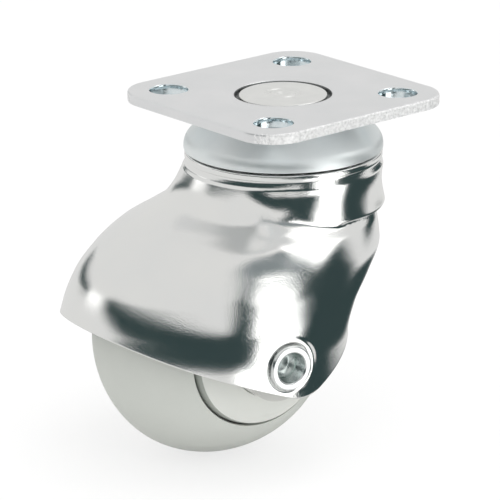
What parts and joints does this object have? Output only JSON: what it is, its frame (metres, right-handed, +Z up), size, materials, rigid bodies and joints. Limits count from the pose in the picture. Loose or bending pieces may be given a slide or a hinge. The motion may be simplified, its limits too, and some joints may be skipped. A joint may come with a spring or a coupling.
{
  "type": "swivel plate castor",
  "caption": "Small swivel castor: square fixing plate on a riveted ball race, bright drawn hood trailing to one side, grey ball shaped wheel on a riveted axle.",
  "frame": {"origin": "middle of the plate's top mounting face, on the swivel axis", "axes": "+Z up along the swivel axis, out of the mounting face; plate sides along X and Y; the hood trails towards -X, turned 7.6 degrees off it towards +Y"},
  "size_m": [0.0565, 0.0466, 0.0566],
  "materials": {
    "plate_steel": "bright zinc plated steel, faint cloudy grain",
    "rivet_steel": "turned zinc plated steel",
    "race_steel": "satin blue-grey zinc",
    "hood_chrome": "bright plated drawn sheet with a fine orange-peel grain",
    "ball_steel": "polished bearing steel",
    "axle_steel": "zinc plated steel",
    "tread_grey": "light grey matt thermoplastic rubber",
    "cap_plastic": "light grey moulded plastic",
    "inner_plastic": "plain moulded plastic"
  },
  "bodies": {
    "plate": {"top_plate": "plate_steel", "kingpin": "rivet_steel", "upper_race": "race_steel", "lower_race": "race_steel"},
    "upper_ball_ring": {"upper_balls": "ball_steel"},
    "lower_ball_ring": {"lower_balls": "ball_steel"},
    "hood_body": {"hood": "hood_chrome", "axle": "axle_steel", "axle_sleeve": "axle_steel", "side_washer_near": "inner_plastic", "side_washer_far": "inner_plastic"},
    "wheel": {"tread": "tread_grey", "wheel_core": "inner_plastic", "wheel_bush": "inner_plastic", "hub_cap_near": "cap_plastic", "hub_cap_far": "cap_plastic"}
  },
  "joints": [
    {"name": "swivel", "type": "hinge", "parent": "plate", "child": "hood_body", "pos_m": [0, 0, 0], "axis": [0, 0, 1], "continuous": true},
    {"name": "upper_ball_roll", "type": "hinge", "parent": "plate", "child": "upper_ball_ring", "pos_m": [0, 0, 0], "axis": [0, 0, 1], "continuous": true},
    {"name": "lower_ball_roll", "type": "hinge", "parent": "plate", "child": "lower_ball_ring", "pos_m": [0, 0, 0], "axis": [0, 0, 1], "continuous": true},
    {"name": "wheel_roll", "type": "hinge", "parent": "hood_body", "child": "wheel", "pos_m": [-0.01338, 0.00179, -0.0366], "axis": [-0.1323, -0.9912, 0], "continuous": true}
  ],
  "couplings": [
    {"joint": "upper_ball_roll", "follows": "swivel", "ratio": 0.5},
    {"joint": "lower_ball_roll", "follows": "swivel", "ratio": 0.5}
  ]
}
